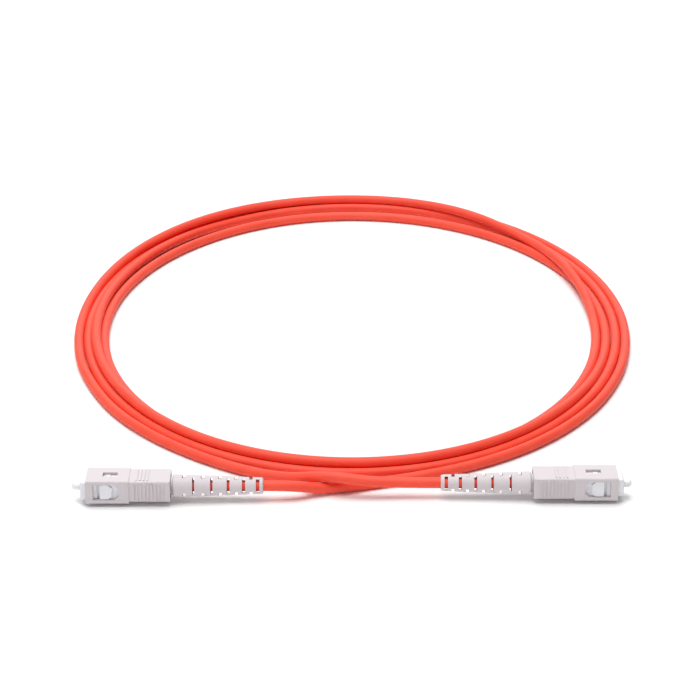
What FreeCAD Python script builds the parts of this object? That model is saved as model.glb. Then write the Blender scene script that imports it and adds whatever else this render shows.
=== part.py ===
import FreeCAD, Part
import math
import os
import Sketcher

# Simplex fibre optic patch cord: an orange 3.2 mm cord in a flat oval coil, with an SC push-pull
# plug on each end. The cord lies on the plane z = 0. The two plugs lie back to back along X in
# front of the coil, noses outward and keys down, and the origin is midway between them.
#
# Every plug piece is drawn once, in the plug's own frame: X runs backwards along the ferrule's
# axis, from 0 at the push-pull housing's front face, and Z is up. A "front" or "back" in the
# sheet is a place along that X.

SIZES = {
    # where the two plugs lie
    "housing_reach": 77.7,
    "plug_offset": 0.9,
    "axis_height": 4.75,
    # push-pull housing
    "housing_width": 9.0,
    "housing_height": 7.4,
    "housing_length": 24.6,
    "grip_front": 12.6,
    "grip_inset": 0.25,
    "grip_lift": 0.5,
    "edge_round": 0.5,
    "cavity_width": 7.2,
    "cavity_height": 5.9,
    "window_front": 2.1,
    "window_back": 9.6,
    "window_height": 5.0,
    "window_taper": 1.3,
    "window_tail_height": 2.6,
    "top_slot_front": 4.8,
    "top_slot_back": 9.2,
    "top_slot_width": 2.6,
    "key_front": 0.6,
    "key_back": 8.6,
    "key_width": 2.1,
    "key_chamfer": 0.5,
    "rib_width": 0.5,
    "rib_pitch": 1.06,
    "rib_rise": 0.24,
    "side_rib_front": 13.7,
    "side_rib_height": 5.6,
    "top_rib_front": 14.6,
    "top_rib_width": 7.0,
    # plug frame
    "nose_front": -1.8,
    "frame_back": 19.5,
    "frame_width": 7.0,
    "frame_height": 5.6,
    "nose_chamfer": 0.45,
    "nose_bore": 4.6,
    "shoulder_front": 2.8,
    "shoulder_back": 3.6,
    "shoulder_bore": 2.9,
    "chamber_back": 12.0,
    "chamber_bore": 4.4,
    "rear_bore": 4.9,
    "groove_front": 3.2,
    "catch_front": 4.1,
    "groove_floor": 5.8,
    "catch_back": 7.6,
    "catch_taper": 1.1,
    "catch_height": 4.6,
    "catch_tail_height": 2.6,
    "catch_span": 8.4,
    "detent_front": 5.3,
    "detent_back": 7.3,
    "detent_width": 2.0,
    "detent_rise": 0.3,
    # ferrule and its metal flange
    "ferrule_front": -4.3,
    "ferrule_back": 6.2,
    "ferrule_dia": 2.5,
    "ferrule_seat_front": 2.6,
    "ferrule_seat_dia": 2.0,
    "tip_dia": 1.8,
    "tip_length": 0.6,
    "fibre_dia": 0.125,
    "fibre_back": 6.6,
    "flange_front": 3.65,
    "flange_back": 6.7,
    "flange_dia": 4.2,
    "flange_tail": 10.5,
    "flange_tail_dia": 2.0,
    "flange_bore": 1.1,
    # spring
    "spring_wire": 0.4,
    "spring_dia": 3.6,
    "spring_turns": 6,
    # stop ring and guide tube
    "stop_front": 12.3,
    "stop_dia": 4.8,
    "stop_bore": 2.1,
    "collar_dia": 5.5,
    "barrel_front": 20.4,
    "barrel_back": 25.2,
    "barrel_dia": 3.4,
    "guide_dia": 2.0,
    "guide_bore": 1.1,
    # crimp sleeve, yarn, buffered fibre and jacket end
    "sleeve_front": 20.8,
    "sleeve_step": 25.4,
    "sleeve_back": 28.0,
    "sleeve_dia": 4.6,
    "sleeve_neck_dia": 4.0,
    "yarn_barrel_dia": 3.9,
    "yarn_dia": 1.96,
    "yarn_bore": 1.0,
    "buffer_front": 8.3,
    "buffer_dia": 0.9,
    "jacket_front": 26.0,
    "jacket_bore": 2.0,
    # boot
    "boot_neck_front": 21.4,
    "boot_neck_dia": 5.5,
    "boot_neck_bore": 4.64,
    "boot_front": 25.2,
    "boot_back": 51.7,
    "boot_front_dia": 6.8,
    "boot_back_dia": 4.8,
    "boot_roll": 26,
    "boot_step": 25.7,
    "boot_sleeve_back": 28.2,
    "boot_sleeve_bore": 4.04,
    "boot_bore": 3.24,
    "boot_edge": 0.3,
    "slit_first": 3.3,
    "slit_pitch": 2.85,
    "slit_shrink": 0.05,
    "slit_width": 0.6,
    "slit_growth": 0.05,
    "notch_width": 1.0,
    "slit_share": 0.76,
    "notch_share": 0.7,
    # cord
    "cord_dia": 3.2,
    "coil_width": 188.4,
    "coil_front": 10.8,
    "coil_back": 233.6,
    "hole_width": 160.8,
    "hole_front": 18.9,
    "hole_back": 216.2,
    "coil_height": 6.4,
    "coil_round": 1.6,
}

SIDE_RIBS = 9
TOP_RIBS = 4
SLIT_COUNT = 10

# Each end of the cord: the side of the origin that it lies on, and the plug's turn about Z.
ENDS = {"a": (-1, 0.0), "b": (1, 180.0)}

# The cord's way from each boot to the coil. Tail a leaves the left boot, comes down to the floor
# and joins the right side of the coil. Tail b leaves the right boot, crosses over tail a just left
# of the middle, comes down and joins the coil's left side.
TAIL_ROUTES = {
    "cable_tail_a": [
        (-26.0, -0.9, 4.75),
        (-18.2, -0.9, 4.75),
        (-9.5, 2.1, 2.2),
        (2.0, 5.0, 1.6),
        (22.0, 11.2, 1.6),
        (41.0, 19.9, 1.6),
        (58.5, 33.4, 1.6),
        (72.0, 49.6, 1.6),
        (82.0, 67.6, 1.6),
    ],
    "cable_tail_b": [
        (26.0, 0.9, 4.75),
        (16.0, 0.9, 4.75),
        (5.0, 0.6, 5.3),
        (-7.5, 2.6, 6.1),
        (-20.0, 8.4, 2.2),
        (-33.0, 14.7, 1.6),
        (-48.0, 24.6, 1.6),
        (-62.5, 37.8, 1.6),
        (-74.5, 53.4, 1.6),
        (-83.0, 70.8, 1.6),
    ],
}

doc = FreeCAD.newDocument("PatchCord")
sheet = doc.addObject("Spreadsheet::Sheet", "Sizes")
for row, (alias, number) in enumerate(SIZES.items(), start=1):
    sheet.set(f"A{row}", alias)
    sheet.set(f"B{row}", str(number))
    sheet.setAlias(f"B{row}", alias)
doc.recompute()


def size(alias):
    """A driving dimension's value, from the sheet."""
    return float(sheet.get(alias))


# ---------------------------------------------------------------- drawing helpers


def new_body(label, end, roll=0.0):
    """An empty body in the frame of one plug, rolled about the plug's axis by roll degrees."""
    side, turn = ENDS[end]
    body = doc.addObject("PartDesign::Body", label)
    body.Label = label
    about_z = FreeCAD.Rotation(FreeCAD.Vector(0, 0, 1), turn)
    about_axis = FreeCAD.Rotation(FreeCAD.Vector(1, 0, 0), roll)
    body.Placement.Rotation = about_z.multiply(about_axis)
    body.setExpression("Placement.Base.x", f"{side} * Sizes.housing_reach")
    body.setExpression("Placement.Base.y", f"{side} * Sizes.plug_offset")
    body.setExpression("Placement.Base.z", "Sizes.axis_height")
    return body


def new_sketch(body, name, role, offset=None):
    """A sketch on one of the body's own planes, moved along the plane's normal by offset."""
    sketch = body.newObject("Sketcher::SketchObject", f"{body.Label}_{name}")
    plane = next(item for item in body.Origin.OriginFeatures if item.Role == role)
    sketch.AttachmentSupport = [(plane, "")]
    sketch.MapMode = "FlatFace"
    if offset:
        sketch.setExpression("AttachmentOffset.Base.z", offset)
    return sketch


def outline(sketch, corners):
    """Draws a closed outline with straight sides. A corner is a pair of expressions."""
    places = [
        FreeCAD.Vector(float(sketch.evalExpression(across)), float(sketch.evalExpression(up)), 0)
        for across, up in corners
    ]
    first = sketch.GeometryCount
    count = len(corners)
    for index in range(count):
        sketch.addGeometry(Part.LineSegment(places[index], places[(index + 1) % count]))
    for index in range(count):
        line = first + index
        after = first + (index + 1) % count
        sketch.addConstraint(Sketcher.Constraint("Coincident", line, 2, after, 1))
    for index, (across, up) in enumerate(corners):
        line = first + index
        held = sketch.addConstraint(
            Sketcher.Constraint("DistanceX", -1, 1, line, 1, places[index].x))
        sketch.setExpression(f"Constraints[{held}]", across)
        held = sketch.addConstraint(
            Sketcher.Constraint("DistanceY", -1, 1, line, 1, places[index].y))
        sketch.setExpression(f"Constraints[{held}]", up)


def rectangle(sketch, left, right, low, high):
    """Draws a rectangle between four expressions."""
    outline(sketch, [(left, low), (right, low), (right, high), (left, high)])


def centred(sketch, width, height):
    """Draws a rectangle with its middle on the sketch's origin."""
    rectangle(sketch, f"-({width}) / 2", f"({width}) / 2", f"-({height}) / 2", f"({height}) / 2")


def pad(body, sketch, length, name):
    """Adds material from the sketch, along its normal."""
    feature = body.newObject("PartDesign::Pad", f"{body.Label}_{name}")
    feature.Profile = sketch
    feature.setExpression("Length", length)
    sketch.Visibility = False
    return feature


def cut_both_ways(body, sketch, name, reach="Sizes.housing_width"):
    """Cuts right through the body, by reach on each side of the sketch."""
    feature = body.newObject("PartDesign::Pocket", f"{body.Label}_{name}")
    feature.Profile = sketch
    feature.Midplane = True
    feature.setExpression("Length", f"2 * {reach}")
    return feature


def pad_both_ways(body, sketch, length, name):
    """Adds material of that length, half of it on each side of the sketch."""
    feature = pad(body, sketch, length, name)
    feature.Midplane = True
    return feature


def row_of_ribs(sketch, count, front, reach):
    """Draws one rectangle for each rib of a row, from -reach to reach across."""
    for index in range(count):
        start = f"{front} + {index} * Sizes.rib_pitch"
        rectangle(sketch, start, f"{start} + Sizes.rib_width", f"-({reach})", reach)


def tapered_outline(sketch, front, back, taper, height, tail_height):
    """Draws a rectangle whose back corners slope in to tail_height over the last taper."""
    outline(sketch, [
        (front, f"-({height}) / 2"),
        (f"{back} - {taper}", f"-({height}) / 2"),
        (back, f"-({tail_height}) / 2"),
        (back, f"({tail_height}) / 2"),
        (f"{back} - {taper}", f"({height}) / 2"),
        (front, f"({height}) / 2"),
    ])


def turned(body, corners, name="turned"):
    """Turns an outline about the plug's axis. A corner is a place along the axis and a radius."""
    sketch = new_sketch(body, f"{name}_profile", "XZ_Plane")
    outline(sketch, corners)
    feature = body.newObject("PartDesign::Revolution", f"{body.Label}_{name}")
    feature.Profile = sketch
    feature.ReferenceAxis = (sketch, ["H_Axis"])
    feature.Angle = 360
    return feature


def edges_along_axis(shape):
    """Names of the straight edges that run along X."""
    names = []
    for index, edge in enumerate(shape.Edges, start=1):
        start, finish = edge.Vertexes[0].Point, edge.Vertexes[-1].Point
        across = math.hypot(start.y - finish.y, start.z - finish.z)
        if across < 1e-6 and abs(start.x - finish.x) > 1e-6:
            names.append(f"Edge{index}")
    return names


def dress(body, kind, base, edges, amount, name):
    """Rounds or chamfers edges of the last feature."""
    feature = body.newObject(f"PartDesign::{kind}", f"{body.Label}_{name}")
    feature.Base = (base, edges)
    feature.setExpression("Radius" if kind == "Fillet" else "Size", amount)
    return feature


# ---------------------------------------------------------------- the plug's pieces


def outer_housing(end):
    """The push-pull housing: a rounded box with a ribbed grip, side windows, top slot and key."""
    body = new_body(f"outer_housing_{end}", end)
    section = new_sketch(body, "section", "YZ_Plane")
    centred(section, "Sizes.housing_width", "Sizes.housing_height")
    pad(body, section, "Sizes.grip_front", "front")

    half_grip = "Sizes.housing_width / 2 - Sizes.grip_inset"
    grip_top = "Sizes.housing_height / 2 - Sizes.grip_inset"
    grip_floor = "Sizes.housing_height / 2 - Sizes.grip_lift"
    section = new_sketch(body, "grip_section", "YZ_Plane", "Sizes.grip_front")
    rectangle(section, f"-({half_grip})", half_grip, f"-({grip_floor})", grip_top)
    grip = pad(body, section, "Sizes.housing_length - Sizes.grip_front", "grip")
    doc.recompute()
    dress(body, "Fillet", grip, edges_along_axis(grip.Shape), "Sizes.edge_round", "rounded")
    doc.recompute()

    sketch = new_sketch(body, "side_rib_outlines", "XZ_Plane")
    row_of_ribs(sketch, SIDE_RIBS, "Sizes.side_rib_front", "Sizes.side_rib_height / 2")
    pad_both_ways(body, sketch, f"2 * ({half_grip} + Sizes.rib_rise)", "side_ribs")
    sketch = new_sketch(body, "top_rib_outlines", "XY_Plane")
    row_of_ribs(sketch, TOP_RIBS, "Sizes.top_rib_front", "Sizes.top_rib_width / 2")
    top_ribs = pad(body, sketch, f"{grip_top} + Sizes.rib_rise", "top_ribs")
    top_ribs.Refine = True

    sketch = new_sketch(body, "cavity_section", "YZ_Plane")
    centred(sketch, "Sizes.cavity_width", "Sizes.cavity_height")
    cut_both_ways(body, sketch, "cavity", "(Sizes.housing_length + 1)")

    sketch = new_sketch(body, "window_outline", "XZ_Plane")
    tapered_outline(sketch, "Sizes.window_front", "Sizes.window_back", "Sizes.window_taper",
                    "Sizes.window_height", "Sizes.window_tail_height")
    cut_both_ways(body, sketch, "windows")

    sketch = new_sketch(body, "top_slot_outline", "XY_Plane")
    rectangle(sketch, "Sizes.top_slot_front", "Sizes.top_slot_back",
              "-Sizes.top_slot_width / 2", "Sizes.top_slot_width / 2")
    slot = body.newObject("PartDesign::Pocket", f"{body.Label}_top_slot")
    slot.Profile = sketch
    slot.Reversed = True
    slot.setExpression("Length", "Sizes.housing_height")

    sketch = new_sketch(body, "key_outline", "XZ_Plane")
    root = "-(Sizes.housing_height + Sizes.cavity_height) / 4"
    outline(sketch, [
        ("Sizes.key_front", root),
        ("Sizes.key_front", "Sizes.key_chamfer - Sizes.axis_height"),
        ("Sizes.key_front + Sizes.key_chamfer", "-Sizes.axis_height"),
        ("Sizes.key_back", "-Sizes.axis_height"),
        ("Sizes.key_back", root),
    ])
    pad_both_ways(body, sketch, "Sizes.key_width", "key")


def plug_frame(end):
    """The inner body: nose, ferrule chamber, side grooves and catches, and a detent on top."""
    body = new_body(f"plug_frame_{end}", end)
    section = new_sketch(body, "section", "YZ_Plane", "Sizes.nose_front")
    centred(section, "Sizes.frame_width", "Sizes.frame_height")
    block = pad(body, section, "Sizes.frame_back - Sizes.nose_front", "block")
    doc.recompute()

    corners = edges_along_axis(block.Shape)
    rounded = dress(body, "Fillet", block, corners, "Sizes.edge_round", "rounded")
    doc.recompute()
    nose = [
        f"Edge{index}"
        for index, edge in enumerate(rounded.Shape.Edges, start=1)
        if all(abs(vertex.Point.x - size("nose_front")) < 1e-6 for vertex in edge.Vertexes)
    ]
    dress(body, "Chamfer", rounded, nose, "Sizes.nose_chamfer", "nose")
    doc.recompute()

    sketch = new_sketch(body, "catch_outline", "XZ_Plane")
    tapered_outline(sketch, "Sizes.catch_front", "Sizes.catch_back", "Sizes.catch_taper",
                    "Sizes.catch_height", "Sizes.catch_tail_height")
    pad_both_ways(body, sketch, "Sizes.catch_span", "catches")

    sketch = new_sketch(body, "bore_profile", "XZ_Plane")
    outline(sketch, [
        ("Sizes.nose_front - 1", "0"),
        ("Sizes.nose_front - 1", "Sizes.nose_bore / 2"),
        ("Sizes.shoulder_front", "Sizes.nose_bore / 2"),
        ("Sizes.shoulder_front", "Sizes.shoulder_bore / 2"),
        ("Sizes.shoulder_back", "Sizes.shoulder_bore / 2"),
        ("Sizes.shoulder_back", "Sizes.chamber_bore / 2"),
        ("Sizes.chamber_back", "Sizes.chamber_bore / 2"),
        ("Sizes.chamber_back", "Sizes.rear_bore / 2"),
        ("Sizes.frame_back + 1", "Sizes.rear_bore / 2"),
        ("Sizes.frame_back + 1", "0"),
    ])
    bore = body.newObject("PartDesign::Groove", f"{body.Label}_bore")
    bore.Profile = sketch
    bore.ReferenceAxis = (sketch, ["H_Axis"])
    bore.Angle = 360

    sketch = new_sketch(body, "groove_outline", "XY_Plane")
    for side in ("-1", "1"):
        near, far = f"{side} * Sizes.groove_floor / 2", f"{side} * Sizes.frame_width"
        rectangle(sketch, "Sizes.groove_front", "Sizes.catch_front", near, far)
    cut_both_ways(body, sketch, "grooves")

    sketch = new_sketch(body, "detent_outline", "XZ_Plane")
    low = "(Sizes.frame_height + Sizes.chamber_bore) / 4"
    high = "Sizes.frame_height / 2 + Sizes.detent_rise"
    outline(sketch, [
        ("Sizes.detent_front", low),
        ("Sizes.detent_front", "Sizes.frame_height / 2"),
        ("Sizes.detent_front + Sizes.detent_rise", high),
        ("Sizes.detent_back - Sizes.detent_rise", high),
        ("Sizes.detent_back", "Sizes.frame_height / 2"),
        ("Sizes.detent_back", low),
    ])
    pad_both_ways(body, sketch, "Sizes.detent_width", "detent")


def ferrule(end):
    """The ceramic ferrule: chamfered tip, free length, narrower rear part, and fine bore."""
    body = new_body(f"ferrule_{end}", end)
    turned(body, [
        ("Sizes.ferrule_front", "Sizes.fibre_dia / 2"),
        ("Sizes.ferrule_front", "Sizes.tip_dia / 2"),
        ("Sizes.ferrule_front + Sizes.tip_length", "Sizes.ferrule_dia / 2"),
        ("Sizes.ferrule_seat_front", "Sizes.ferrule_dia / 2"),
        ("Sizes.ferrule_seat_front", "Sizes.ferrule_seat_dia / 2"),
        ("Sizes.ferrule_back", "Sizes.ferrule_seat_dia / 2"),
        ("Sizes.ferrule_back", "Sizes.fibre_dia / 2"),
    ])


def bare_fibre(end):
    """The stripped glass fibre bonded in the ferrule."""
    body = new_body(f"bare_fibre_{end}", end)
    turned(body, [
        ("Sizes.ferrule_front", "0"),
        ("Sizes.ferrule_front", "Sizes.fibre_dia / 2"),
        ("Sizes.fibre_back", "Sizes.fibre_dia / 2"),
        ("Sizes.fibre_back", "0"),
    ])


def ferrule_flange(end):
    """The metal flange pressed on the ferrule, with a tail tube inside the spring."""
    body = new_body(f"ferrule_flange_{end}", end)
    turned(body, [
        ("Sizes.flange_front", "Sizes.ferrule_seat_dia / 2"),
        ("Sizes.flange_front", "Sizes.flange_dia / 2"),
        ("Sizes.flange_back", "Sizes.flange_dia / 2"),
        ("Sizes.flange_back", "Sizes.flange_tail_dia / 2"),
        ("Sizes.flange_tail", "Sizes.flange_tail_dia / 2"),
        ("Sizes.flange_tail", "Sizes.flange_bore / 2"),
        ("Sizes.ferrule_back", "Sizes.flange_bore / 2"),
        ("Sizes.ferrule_back", "Sizes.ferrule_seat_dia / 2"),
    ])


def spring(end):
    """The compression spring between the flange and the stop ring."""
    body = new_body(f"spring_{end}", end)
    sketch = new_sketch(body, "wire_section", "XZ_Plane")
    start = "Sizes.flange_back + 0.65 * Sizes.spring_wire"
    wire = sketch.addGeometry(Part.Circle(
        FreeCAD.Vector(float(sketch.evalExpression(start)), size("spring_dia") / 2, 0),
        FreeCAD.Vector(0, 0, 1), size("spring_wire") / 2))
    held = sketch.addConstraint(Sketcher.Constraint("Radius", wire, size("spring_wire") / 2))
    sketch.setExpression(f"Constraints[{held}]", "Sizes.spring_wire / 2")
    held = sketch.addConstraint(
        Sketcher.Constraint("DistanceX", -1, 1, wire, 3, float(sketch.evalExpression(start))))
    sketch.setExpression(f"Constraints[{held}]", start)
    held = sketch.addConstraint(
        Sketcher.Constraint("DistanceY", -1, 1, wire, 3, size("spring_dia") / 2))
    sketch.setExpression(f"Constraints[{held}]", "Sizes.spring_dia / 2")
    coil = body.newObject("PartDesign::AdditiveHelix", f"{body.Label}_coil")
    coil.Profile = sketch
    coil.ReferenceAxis = (sketch, ["H_Axis"])
    coil.Mode = "height-turns-angle"
    coil.setExpression("Height", "Sizes.stop_front - Sizes.flange_back - 1.3 * Sizes.spring_wire")
    coil.setExpression("Turns", "Sizes.spring_turns")


def stop_ring(end):
    """The rear body: spring seat, collar against the plug frame, and crimp barrel."""
    body = new_body(f"stop_ring_{end}", end)
    turned(body, [
        ("Sizes.stop_front", "Sizes.stop_bore / 2"),
        ("Sizes.stop_front", "Sizes.stop_dia / 2"),
        ("Sizes.frame_back", "Sizes.stop_dia / 2"),
        ("Sizes.frame_back", "Sizes.collar_dia / 2"),
        ("Sizes.barrel_front", "Sizes.collar_dia / 2"),
        ("Sizes.barrel_front", "Sizes.barrel_dia / 2"),
        ("Sizes.barrel_back", "Sizes.barrel_dia / 2"),
        ("Sizes.barrel_back", "Sizes.stop_bore / 2"),
    ])


def guide_tube(end):
    """The thin tube that leads the buffered fibre through the stop ring."""
    body = new_body(f"guide_tube_{end}", end)
    turned(body, [
        ("Sizes.stop_front", "Sizes.guide_bore / 2"),
        ("Sizes.stop_front", "Sizes.guide_dia / 2"),
        ("Sizes.barrel_back", "Sizes.guide_dia / 2"),
        ("Sizes.barrel_back", "Sizes.guide_bore / 2"),
    ])


def crimp_sleeve(end):
    """The stepped sleeve: wide over the yarn and barrel, narrow over the jacket."""
    body = new_body(f"crimp_sleeve_{end}", end)
    slope = "Sizes.sleeve_dia / 2 - Sizes.sleeve_neck_dia / 2"
    turned(body, [
        ("Sizes.sleeve_front", "Sizes.yarn_barrel_dia / 2"),
        ("Sizes.sleeve_front", "Sizes.sleeve_dia / 2"),
        ("Sizes.sleeve_step", "Sizes.sleeve_dia / 2"),
        (f"Sizes.sleeve_step + {slope}", "Sizes.sleeve_neck_dia / 2"),
        ("Sizes.sleeve_back", "Sizes.sleeve_neck_dia / 2"),
        ("Sizes.sleeve_back", "Sizes.cord_dia / 2"),
        (f"Sizes.sleeve_step + {slope}", "Sizes.cord_dia / 2"),
        ("Sizes.sleeve_step", "Sizes.yarn_barrel_dia / 2"),
    ])


def aramid_yarn(end):
    """The yarn: a layer over the barrel that narrows into the jacket, round the fibre."""
    body = new_body(f"aramid_yarn_{end}", end)
    turned(body, [
        ("Sizes.sleeve_front", "Sizes.barrel_dia / 2"),
        ("Sizes.sleeve_front", "Sizes.yarn_barrel_dia / 2"),
        ("Sizes.sleeve_step - 0.05", "Sizes.yarn_barrel_dia / 2"),
        ("Sizes.jacket_front", "Sizes.yarn_dia / 2"),
        ("Sizes.boot_back", "Sizes.yarn_dia / 2"),
        ("Sizes.boot_back", "Sizes.yarn_bore / 2"),
        ("Sizes.jacket_front - 0.1", "Sizes.yarn_bore / 2"),
        ("Sizes.barrel_back + 0.05", "Sizes.barrel_dia / 2"),
    ])


def buffered_fibre(end):
    """The tight-buffered fibre, from the flange's tail to the boot's end."""
    body = new_body(f"buffered_fibre_{end}", end)
    turned(body, [
        ("Sizes.buffer_front", "0"),
        ("Sizes.buffer_front", "Sizes.buffer_dia / 2"),
        ("Sizes.boot_back", "Sizes.buffer_dia / 2"),
        ("Sizes.boot_back", "0"),
    ])


def jacket_end(end):
    """The end of the cord's jacket, from the crimp sleeve to the boot's mouth."""
    body = new_body(f"jacket_end_{end}", end)
    turned(body, [
        ("Sizes.jacket_front", "Sizes.jacket_bore / 2"),
        ("Sizes.jacket_front", "Sizes.cord_dia / 2"),
        ("Sizes.boot_back", "Sizes.cord_dia / 2"),
        ("Sizes.boot_back", "Sizes.jacket_bore / 2"),
    ])


def boot(end):
    """The tapered strain relief, cut by slits on its sides and notches above and below in turn.

    The boot turns freely on the cord: it is rolled so that one row of slits looks up and out.
    """
    body = new_body(f"boot_{end}", end, ENDS[end][0] * size("boot_roll"))
    turned(body, [
        ("Sizes.boot_neck_front", "Sizes.boot_neck_bore / 2"),
        ("Sizes.boot_neck_front", "Sizes.boot_neck_dia / 2"),
        ("Sizes.boot_front", "Sizes.boot_neck_dia / 2"),
        ("Sizes.boot_front", "Sizes.boot_front_dia / 2 - Sizes.boot_edge"),
        ("Sizes.boot_front + Sizes.boot_edge", "Sizes.boot_front_dia / 2"),
        ("Sizes.boot_back - Sizes.boot_edge", "Sizes.boot_back_dia / 2"),
        ("Sizes.boot_back", "Sizes.boot_back_dia / 2 - Sizes.boot_edge"),
        ("Sizes.boot_back", "Sizes.boot_bore / 2"),
        ("Sizes.boot_sleeve_back", "Sizes.boot_bore / 2"),
        ("Sizes.boot_sleeve_back", "Sizes.boot_sleeve_bore / 2"),
        ("Sizes.boot_step", "Sizes.boot_sleeve_bore / 2"),
        ("Sizes.boot_step", "Sizes.boot_neck_bore / 2"),
    ])
    upright = new_sketch(body, "side_slits", "XZ_Plane")
    level = new_sketch(body, "top_slits", "XY_Plane")
    narrowing = "(Sizes.boot_front_dia - Sizes.boot_back_dia) / (Sizes.boot_back - Sizes.boot_front)"
    for index in range(SLIT_COUNT):
        along = f"(Sizes.slit_first + {index} * Sizes.slit_pitch - {index ** 2} * Sizes.slit_shrink)"
        is_side = index % 2 == 1
        share = "Sizes.slit_share" if is_side else "Sizes.notch_share"
        across = f"{share} * (Sizes.boot_front_dia - {along} * {narrowing}) / 2"
        growing = f"(Sizes.slit_width + {index} * Sizes.slit_growth)"
        width = growing if is_side else "Sizes.notch_width"
        rectangle(upright if is_side else level,
                  f"Sizes.boot_front + {along} - {width} / 2",
                  f"Sizes.boot_front + {along} + {width} / 2",
                  f"-{across}", across)
    cut_both_ways(body, upright, "side_cuts")
    cut_both_ways(body, level, "top_cuts")


# ---------------------------------------------------------------- the cord


def oval(name, width, front, back):
    """A solid oval slab that stands on the floor, longer along Y than along X."""
    ring = doc.addObject("Part::Ellipse", f"{name}_outline")
    ring.setExpression("MajorRadius", f"({back} - {front}) / 2")
    ring.setExpression("MinorRadius", f"{width} / 2")
    ring.Placement.Rotation = FreeCAD.Rotation(FreeCAD.Vector(0, 0, 1), 90)
    ring.setExpression("Placement.Base.y", f"({back} + {front}) / 2")
    slab = doc.addObject("Part::Extrusion", name)
    slab.Base = ring
    slab.DirMode = "Custom"
    slab.Dir = FreeCAD.Vector(0, 0, 1)
    slab.Solid = True
    slab.setExpression("LengthFwd", "Sizes.coil_height")
    return slab


def cable_coil():
    """The outer shape of the coil's four turns: one flat oval wreath with rounded top edges."""
    wreath = doc.addObject("Part::Cut", "coil_wreath")
    wreath.Base = oval("coil_outside", "Sizes.coil_width", "Sizes.coil_front", "Sizes.coil_back")
    wreath.Tool = oval("coil_hole", "Sizes.hole_width", "Sizes.hole_front", "Sizes.hole_back")
    doc.recompute()
    top_edges = [
        index for index, edge in enumerate(wreath.Shape.Edges, start=1)
        if all(abs(vertex.Point.z - size("coil_height")) < 1e-6 for vertex in edge.Vertexes)
    ]
    coil = doc.addObject("Part::Fillet", "cable_coil")
    coil.Label = "cable_coil"
    coil.Base = wreath
    coil.Edges = [(index, size("coil_round"), size("coil_round")) for index in top_edges]
    return coil


def rounded_route(points, label):
    """Straight runs joined by tangent arcs, each as large as its two runs allow."""
    points = [FreeCAD.Vector(*point) for point in points]
    edges = []
    start = points[0]
    for before, corner, after in zip(points, points[1:], points[2:]):
        back, ahead = before - corner, after - corner
        setback = 0.45 * min(back.Length, ahead.Length)
        back.normalize()
        ahead.normalize()
        half_turn = (math.pi - back.getAngle(ahead)) / 2
        radius = setback / math.tan(half_turn)
        print(f"{label}: turn {math.degrees(2 * half_turn):.1f} deg, radius {radius:.1f} mm")
        entry, leave = corner + back * setback, corner + ahead * setback
        inward = (back + ahead).normalize()
        centre = corner + inward * (radius / math.cos(half_turn))
        middle = centre - inward * radius
        edges.append(Part.LineSegment(start, entry).toShape())
        edges.append(Part.Arc(entry, middle, leave).toShape())
        start = leave
    edges.append(Part.LineSegment(start, points[-1]).toShape())
    return Part.Wire(edges)


def cable_tail(label, points):
    """A round length of cord from a boot's mouth to the coil."""
    route = rounded_route(points, label)
    radius = size("cord_dia") / 2
    start, towards = FreeCAD.Vector(*points[0]), FreeCAD.Vector(*points[1])
    disc = Part.Wire(Part.Circle(start, towards - start, radius).toShape())
    tube = route.makePipeShell([disc], True, False)
    ratio = tube.Volume / (math.pi * radius ** 2 * route.Length)
    print(f"{label}: length {route.Length:.1f} mm, volume over section times length {ratio:.4f}")
    tail = doc.addObject("Part::Feature", label)
    tail.Label = label
    tail.Shape = tube
    tail.Placement = FreeCAD.Placement()
    return tail


PLUG_PIECES = [
    outer_housing,
    plug_frame,
    ferrule,
    bare_fibre,
    ferrule_flange,
    spring,
    stop_ring,
    guide_tube,
    crimp_sleeve,
    aramid_yarn,
    buffered_fibre,
    jacket_end,
    boot,
]

for plug_end in ENDS:
    for make_piece in PLUG_PIECES:
        make_piece(plug_end)
cable_coil()
for tail_label, tail_points in TAIL_ROUTES.items():
    cable_tail(tail_label, tail_points)
doc.recompute()

# ---------------------------------------------------------------- checks and export

for item in doc.Objects:
    if "Invalid" in item.State or "Error" in item.State:
        raise RuntimeError(f"{item.Label} failed: {item.State}")

node_labels = [f"{piece.__name__}_{end}" for end in ENDS for piece in PLUG_PIECES]
node_labels += ["cable_coil", *TAIL_ROUTES]
nodes = [doc.getObjectsByLabel(label)[0] for label in node_labels]
for node in nodes:
    shape = node.Shape
    if shape.isNull() or not shape.isValid() or len(shape.Solids) != 1:
        raise RuntimeError(f"{node.Label} isn't one valid solid")

os.makedirs("parts", exist_ok=True)
for node in nodes:
    node.Shape.exportStep(f"parts/{node.Label}.step")
    box = node.Shape.BoundBox
    print(f"{node.Label}: {node.Shape.Volume:.3f} mm3, z {box.ZMin:.2f} to {box.ZMax:.2f}")
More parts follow.
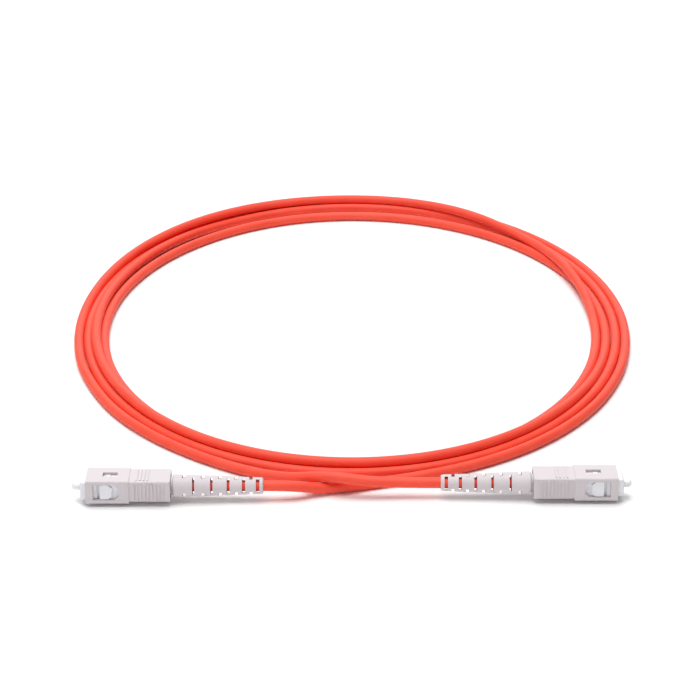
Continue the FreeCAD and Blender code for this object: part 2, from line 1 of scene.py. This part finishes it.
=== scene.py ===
import math
import bpy
import bmesh
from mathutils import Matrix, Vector


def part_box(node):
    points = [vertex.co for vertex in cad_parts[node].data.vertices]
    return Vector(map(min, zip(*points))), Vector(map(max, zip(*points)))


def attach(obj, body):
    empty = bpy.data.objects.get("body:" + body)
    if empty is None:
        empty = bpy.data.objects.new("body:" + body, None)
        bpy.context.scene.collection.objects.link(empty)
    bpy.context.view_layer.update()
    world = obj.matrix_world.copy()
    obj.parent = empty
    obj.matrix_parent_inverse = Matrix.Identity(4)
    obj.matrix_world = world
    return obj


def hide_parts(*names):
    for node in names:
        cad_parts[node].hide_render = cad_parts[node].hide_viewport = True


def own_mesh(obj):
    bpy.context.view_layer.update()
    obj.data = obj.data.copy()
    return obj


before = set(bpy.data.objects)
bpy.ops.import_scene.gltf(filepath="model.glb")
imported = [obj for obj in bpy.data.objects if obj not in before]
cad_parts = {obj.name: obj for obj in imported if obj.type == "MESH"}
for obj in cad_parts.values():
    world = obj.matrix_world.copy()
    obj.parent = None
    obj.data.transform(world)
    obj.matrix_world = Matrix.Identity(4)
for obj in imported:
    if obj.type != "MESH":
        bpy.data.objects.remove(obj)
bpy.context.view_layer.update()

# The two plugs, a on the left and b on the right, and a millimetre in metres.
ENDS = ("a", "b")
MM = 0.001

# ---------------------------------------------------------------- the cord's sizes

JACKET_DIA = 3.2
JACKET_RADIUS = JACKET_DIA / 2
TURNS = 4
POINTS_PER_TURN = 24
STEP = 360 / POINTS_PER_TURN
# How finely the cord's line and its round section are divided.
SPLINE_STEPS = 8
ROUND_STEPS = 6

# The oval that the outermost strand follows, as half its width, half its depth and its middle.
OVAL_HALF_WIDTH = 92.3
OVAL_HALF_DEPTH = 111.1
OVAL_MIDDLE_Y = 120.5

# How far inside that oval each turn lies at the coil's four sides, in mm. A turn starts at the
# front, and goes right, back, left and to the front again. The last turn starts innermost on the
# right, climbs over the others at the back and ends outermost on the left. The front has one value
# more, because the last turn comes back to it.
AT_FRONT = (0.0, 3.3, 5.5, 7.5, 0.0)
AT_RIGHT = (0.0, 3.25, 6.6, 9.9)
AT_BACK = (0.0, 3.4, 12.1, 1.7)
AT_LEFT = (3.25, 5.9, 8.5, 0.0)

# The cord's two ends, from each boot's mouth to the coil, in mm.
START_ROUTE = [
    (-26.0, -0.9, 4.75),
    (-18.2, -0.9, 4.75),
    (-9.5, 2.1, 2.2),
    (2.0, 5.0, 1.6),
    (22.0, 11.2, 1.6),
    (41.0, 19.9, 1.6),
    (58.5, 33.4, 1.6),
    (72.0, 49.6, 1.6),
    (82.0, 67.6, 1.6),
]
END_ROUTE = [
    (-83.0, 70.8, 1.6),
    (-74.5, 53.4, 1.6),
    (-62.5, 37.8, 1.6),
    (-48.0, 24.6, 1.6),
    (-33.0, 14.7, 1.6),
    (-20.0, 8.4, 2.2),
    (-7.5, 2.6, 6.1),
    (5.0, 0.6, 5.3),
    (16.0, 0.9, 4.75),
    (26.0, 0.9, 4.75),
]
# The coil starts and ends at these angles, counted from the front by way of the right, in degrees.
FIRST_ANGLE = 75.0
LAST_ANGLE = 285.0


def inset(turn, angle):
    """How far inside the oval a turn lies at an angle from the front, in mm."""
    turning = math.radians(angle)
    fore = math.cos(turning)
    if angle < 90:
        end = AT_FRONT[turn - 1]
    elif angle > 270:
        end = AT_FRONT[turn]
    else:
        end = AT_BACK[turn - 1]
    side = AT_RIGHT[turn - 1] if angle < 180 else AT_LEFT[turn - 1]
    return end * fore ** 2 + side * (1 - fore ** 2)


def turns_under(turn, angle):
    """The turns that this one can rest on there."""
    if turn == 4 and 90 <= angle <= 270:
        return (1, 2, 3)
    if turn == 2 and angle > 180:
        return (1, 3)
    if turn == 3 and angle < 90:
        return (2, 4)
    return ()


def rest_height(turn, angle):
    """The height of a turn's middle line: on the floor, or nested on the turns under it."""
    lift = 0.0
    for other in turns_under(turn, angle):
        gap = inset(turn, angle) - inset(other, angle)
        lift = max(lift, math.sqrt(max(0.0, JACKET_DIA ** 2 - gap ** 2)))
    return JACKET_RADIUS + lift


def coil_points():
    """The coil's control points, set out a little so that the spline keeps the turns' size."""
    outward = 1 / math.cos(math.radians(STEP / 2))
    points = []
    last = 360 * (TURNS - 1) + LAST_ANGLE
    total = FIRST_ANGLE
    while total <= last:
        turn = int(total // 360) + 1
        angle = total % 360
        depth = inset(turn, angle)
        turning = math.radians(angle)
        across = (OVAL_HALF_WIDTH - depth) * outward * math.sin(turning)
        along = OVAL_MIDDLE_Y - (OVAL_HALF_DEPTH - depth) * outward * math.cos(turning)
        points.append((across, along, rest_height(turn, angle)))
        total += STEP
    return points


def spline_length(points):
    """The length of the line through the points, in their own unit."""
    return sum((Vector(b) - Vector(a)).length for a, b in zip(points, points[1:]))


# ---------------------------------------------------------------- materials

# Noise runs from 0 to 1, but nearly all of it lies between these two values.
NOISE_LOW = 0.3
NOISE_HIGH = 0.7


class Paint:
    """A node material under construction."""

    def __init__(self, name, color, roughness):
        self.material = bpy.data.materials.new(name)
        self.material.use_nodes = True
        self.tree = self.material.node_tree
        self.shader = self.tree.nodes["Principled BSDF"]
        self.shader.inputs["Base Color"].default_value = (*color, 1)
        self.shader.inputs["Roughness"].default_value = roughness
        self.place = self.tree.nodes.new("ShaderNodeTexCoord").outputs["Object"]

    def link(self, start, end):
        self.tree.links.new(start, end)

    def put(self, **values):
        """Sets the shader's own values, by name."""
        for name, value in values.items():
            self.shader.inputs[name.replace("_", " ")].default_value = value
        return self

    def stretched(self, scale):
        """Object coordinates multiplied by scale along each axis."""
        node = self.tree.nodes.new("ShaderNodeMapping")
        node.inputs["Scale"].default_value = scale
        self.link(self.place, node.inputs["Vector"])
        return node.outputs["Vector"]

    def noise(self, size_mm, detail=3.0, stretch=(1, 1, 1)):
        """Noise whose blotches are about size_mm across."""
        node = self.tree.nodes.new("ShaderNodeTexNoise")
        node.inputs["Scale"].default_value = 1 / (size_mm * MM)
        node.inputs["Detail"].default_value = detail
        self.link(self.stretched(stretch), node.inputs["Vector"])
        return node.outputs["Fac"]

    def between(self, factor, low, high):
        """Maps a noise factor to the range from low to high."""
        node = self.tree.nodes.new("ShaderNodeMapRange")
        node.inputs["From Min"].default_value = NOISE_LOW
        node.inputs["From Max"].default_value = NOISE_HIGH
        node.inputs["To Min"].default_value = low
        node.inputs["To Max"].default_value = high
        self.link(factor, node.inputs["Value"])
        return node.outputs["Result"]

    def colors(self, factor, dark, light):
        """Colours the surface between two shades by a factor."""
        ramp = self.tree.nodes.new("ShaderNodeValToRGB")
        ramp.color_ramp.elements[0].position = NOISE_LOW
        ramp.color_ramp.elements[0].color = (*dark, 1)
        ramp.color_ramp.elements[1].position = NOISE_HIGH
        ramp.color_ramp.elements[1].color = (*light, 1)
        self.link(factor, ramp.inputs["Fac"])
        self.link(ramp.outputs["Color"], self.shader.inputs["Base Color"])
        return self

    def rough(self, factor, low, high):
        """Varies the roughness from low to high by a factor."""
        self.link(self.between(factor, low, high), self.shader.inputs["Roughness"])
        return self

    def bump(self, factor, depth_mm, strength=0.3):
        """Raises the surface by the factor, adding to any bump so far."""
        node = self.tree.nodes.new("ShaderNodeBump")
        node.inputs["Strength"].default_value = strength
        node.inputs["Distance"].default_value = depth_mm * MM
        self.link(factor, node.inputs["Height"])
        earlier = self.shader.inputs["Normal"].links
        if earlier:
            self.link(earlier[0].from_socket, node.inputs["Normal"])
        self.link(node.outputs["Normal"], self.shader.inputs["Normal"])
        return self


def shade(color, factor):
    """A colour made darker by a factor."""
    return tuple(part * factor for part in color)


def moulded(name, color, roughness, grain_mm=0.35, **values):
    """Moulded plastic: faint clouding, a fine spark-eroded grain and uneven gloss."""
    paint = Paint(name, color, roughness).put(**values)
    cloud = paint.noise(size_mm=6.0, detail=4.0)
    grain = paint.noise(size_mm=grain_mm, detail=2.0)
    paint.colors(cloud, shade(color, 0.955), color)
    paint.rough(cloud, roughness - 0.06, roughness + 0.06)
    paint.bump(grain, depth_mm=0.02, strength=0.35)
    paint.bump(cloud, depth_mm=0.05, strength=0.15)
    return paint.material


def metal(name, color, roughness, streak=(1, 1, 1)):
    """Turned or drawn metal with fine streaks."""
    paint = Paint(name, color, roughness).put(Metallic=1.0)
    lines = paint.noise(size_mm=0.5, detail=4.0, stretch=streak)
    paint.colors(lines, shade(color, 0.86), color)
    paint.rough(lines, roughness - 0.05, roughness + 0.12)
    paint.bump(lines, depth_mm=0.01, strength=0.3)
    return paint.material


def jacket_material():
    """The orange PVC jacket: soft gloss, a fine uneven skin and slight colour drift."""
    color = (0.93, 0.085, 0.046)
    darker = (0.90, 0.075, 0.040)
    lighter = (0.95, 0.094, 0.052)
    paint = Paint("jacket_pvc", color, 0.52).put(Specular_IOR_Level=0.30)
    drift = paint.noise(size_mm=9.0, detail=4.0)
    fine = paint.noise(size_mm=0.45)
    paint.colors(drift, darker, lighter)
    paint.rough(drift, 0.47, 0.57)
    paint.bump(fine, depth_mm=0.02, strength=0.25)
    paint.bump(drift, depth_mm=0.08, strength=0.2)
    return paint.material


def yarn_material():
    """Straight yellow aramid filaments."""
    color = (0.78, 0.52, 0.10)
    darker = (0.55, 0.35, 0.06)
    lighter = (0.86, 0.62, 0.18)
    along_the_cord = (0.05, 1, 1)
    paint = Paint("aramid_filaments", color, 0.6)
    strands = paint.noise(size_mm=0.25, stretch=along_the_cord)
    paint.colors(strands, darker, lighter)
    paint.bump(strands, depth_mm=0.08, strength=0.8)
    return paint.material


MATERIALS = {
    "outer_housing": moulded("housing_beige", (0.66, 0.60, 0.623), 0.46),
    "plug_frame": moulded("frame_white", (0.84, 0.84, 0.88), 0.36, grain_mm=0.25),
    "boot": moulded("boot_elastomer", (0.66, 0.60, 0.622), 0.56, grain_mm=0.5),
    "ferrule": moulded("zirconia", (0.86, 0.86, 0.85), 0.14, grain_mm=0.12, Coat_Weight=0.4),
    "guide_tube": moulded("guide_plastic", (0.80, 0.82, 0.82), 0.4),
    "buffered_fibre": moulded("buffer_plastic", (0.78, 0.73, 0.58), 0.42, grain_mm=0.2),
    "bare_fibre": moulded("glass_fibre", (0.75, 0.82, 0.86), 0.08, grain_mm=0.05),
    "ferrule_flange": metal("flange_nickel", (0.66, 0.65, 0.60), 0.26, streak=(1, 6, 6)),
    "stop_ring": metal("stop_ring_nickel", (0.62, 0.60, 0.54), 0.32, streak=(1, 6, 6)),
    "crimp_sleeve": metal("crimp_steel", (0.60, 0.60, 0.61), 0.35, streak=(8, 1, 1)),
    "spring": metal("spring_steel", (0.48, 0.49, 0.51), 0.28, streak=(4, 4, 4)),
    "aramid_yarn": yarn_material(),
    "jacket_end": jacket_material(),
}


def paint_node(node, material):
    """Gives a CAD node its only material."""
    mesh = node.data
    mesh.materials.clear()
    mesh.materials.append(material)


for kind, material in MATERIALS.items():
    for end in ENDS:
        paint_node(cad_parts[f"{kind}_{end}"], material)

# ---------------------------------------------------------------- the cord


def make_cord():
    """One open NURBS curve from boot to boot."""
    points = START_ROUTE + coil_points() + END_ROUTE
    curve = bpy.data.curves.new("patch_cord", "CURVE")
    curve.dimensions = "3D"
    spline = curve.splines.new("NURBS")
    spline.points.add(len(points) - 1)
    for slot, (x, y, z) in zip(spline.points, points):
        slot.co = (x * MM, y * MM, z * MM, 1)
    spline.order_u = 3
    spline.use_endpoint_u = True
    spline.resolution_u = SPLINE_STEPS
    cord = bpy.data.objects.new("patch_cord", curve)
    bpy.context.scene.collection.objects.link(cord)
    bpy.context.view_layer.update()
    line = bpy.data.meshes.new_from_object(cord)
    length = spline_length([vertex.co for vertex in line.vertices])
    bpy.data.meshes.remove(line)
    curve.bevel_depth = JACKET_RADIUS * MM
    curve.bevel_resolution = ROUND_STEPS
    curve.use_fill_caps = True
    curve.materials.append(MATERIALS["jacket_end"])
    return cord, length


cord, CORD_LENGTH = make_cord()
print(f"cord length {CORD_LENGTH:.4f} m")
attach(cord, "cord")
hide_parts("cable_coil", "cable_tail_a", "cable_tail_b")

# ---------------------------------------------------------------- the ferrule springs


# The wire's radius is in mm.
SPRING_TURNS = 6
STEPS_PER_SPRING_TURN = 40
WIRE_SIDES = 12
WIRE_RADIUS = 0.2


def make_spring(end):
    """A helix of drawn wire between the flange and the stop ring, in place of the CAD one."""
    low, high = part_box(f"spring_{end}")
    wire = WIRE_RADIUS * MM
    steps = SPRING_TURNS * STEPS_PER_SPRING_TURN
    radius = (high.y - low.y) / 2 - wire
    middle = (low + high) / 2
    length = high.x - low.x - 2 * wire
    body = bmesh.new()
    rings = []
    for index in range(steps + 1):
        share = index / steps
        angle = 2 * math.pi * SPRING_TURNS * share
        spoke = Vector((0, math.cos(angle), math.sin(angle)))
        centre = middle + spoke * radius + Vector((length * (share - 0.5), 0, 0))
        around = Vector((1, 0, 0))
        ring = []
        for side in range(WIRE_SIDES):
            tilt = 2 * math.pi * side / WIRE_SIDES
            edge = spoke * math.cos(tilt) + around * math.sin(tilt)
            ring.append(body.verts.new(centre + edge * wire))
        rings.append(ring)
    for before, after in zip(rings, rings[1:]):
        for side in range(WIRE_SIDES):
            beside = (side + 1) % WIRE_SIDES
            body.faces.new((before[side], before[beside], after[beside], after[side]))
    body.faces.new(list(reversed(rings[0])))
    body.faces.new(rings[-1])
    bmesh.ops.recalc_face_normals(body, faces=body.faces)
    mesh = bpy.data.meshes.new(f"spring_wire_{end}")
    body.to_mesh(mesh)
    body.free()
    mesh.shade_smooth()
    mesh.materials.append(MATERIALS["spring"])
    wound = bpy.data.objects.new(f"spring_wire_{end}", mesh)
    bpy.context.scene.collection.objects.link(wound)
    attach(wound, "cord")
    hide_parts(f"spring_{end}")
    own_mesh(wound)


for end in ENDS:
    make_spring(end)

# ---------------------------------------------------------------- floor, light and camera


FLOOR_REACH = 3.0
WORLD_STRENGTH = 0.17

# Each light: name, place, the point that it faces, width and depth in metres, and watts.
LIGHTS = [
    ("overhead", (-0.2, 0.15, 2.2), (0, 0.15, 0), 1.9, 1.5, 56.0),
    ("side_key", (-0.8, -0.45, 0.50), (0, 0.05, 0), 0.30, 0.30, 1.0),
    ("front_fill", (0.1, -1.3, 0.30), (0, 0.02, 0), 1.2, 0.4, 2.2),
    ("back_strip", (0, 2.2, 0.85), (0, 0.15, 0), 2.4, 0.35, 15.0),
]


def make_floor():
    """A plain pale floor."""
    mesh = bpy.data.meshes.new("floor")
    reach = FLOOR_REACH
    corners = [(-reach, -reach, 0), (reach, -reach, 0), (reach, reach, 0), (-reach, reach, 0)]
    mesh.from_pydata(corners, [], [(0, 1, 2, 3)])
    paint = Paint("floor_white", (0.93, 0.93, 0.93), 0.6).put(Specular_IOR_Level=0.1)
    paint.colors(paint.noise(120.0), (0.925, 0.925, 0.925), (0.935, 0.935, 0.935))
    mesh.materials.append(paint.material)
    floor = bpy.data.objects.new("floor", mesh)
    bpy.context.scene.collection.objects.link(floor)


def add_light(name, place, target, width, depth, watts):
    """A soft rectangular light that faces its target."""
    lamp = bpy.data.lights.new(name, "AREA")
    lamp.shape = "RECTANGLE"
    lamp.size = width
    lamp.size_y = depth
    lamp.energy = watts
    light = bpy.data.objects.new(name, lamp)
    light.location = place
    light.rotation_euler = (Vector(target) - Vector(place)).to_track_quat("-Z", "Y").to_euler()
    bpy.context.scene.collection.objects.link(light)


def make_world(strength):
    """Even white light from all around."""
    world = bpy.data.worlds.new("studio")
    world.use_nodes = True
    background = world.node_tree.nodes["Background"]
    background.inputs["Color"].default_value = (1, 1, 1, 1)
    background.inputs["Strength"].default_value = strength
    bpy.context.scene.world = world


# The camera looks at the coil's middle, from the front and above. Metres, degrees and millimetres.
COIL_MIDDLE = Vector((0, 0.1214, 0))
CAMERA_DISTANCE = 0.8
CAMERA_ELEVATION = 24.5
CAMERA_LENS = 120.55
CAMERA_SENSOR = 36
CAMERA_SHIFT_X = -0.003
CAMERA_SHIFT_Y = -0.0324
CAMERA_CLIP_START = 0.01


def make_camera():
    """The camera at the photograph's viewing angle."""
    tilt = math.radians(CAMERA_ELEVATION)
    back = Vector((0, -math.cos(tilt), math.sin(tilt))) * CAMERA_DISTANCE
    data = bpy.data.cameras.new("camera")
    data.lens = CAMERA_LENS
    data.sensor_width = CAMERA_SENSOR
    data.shift_x = CAMERA_SHIFT_X
    data.shift_y = CAMERA_SHIFT_Y
    data.clip_start = CAMERA_CLIP_START
    camera = bpy.data.objects.new("camera", data)
    camera.location = COIL_MIDDLE + back
    camera.rotation_euler = (-back).to_track_quat("-Z", "Y").to_euler()
    bpy.context.scene.collection.objects.link(camera)
    bpy.context.scene.camera = camera


make_floor()
make_world(WORLD_STRENGTH)
for light in LIGHTS:
    add_light(*light)
make_camera()
bpy.context.scene.view_settings.view_transform = "Standard"
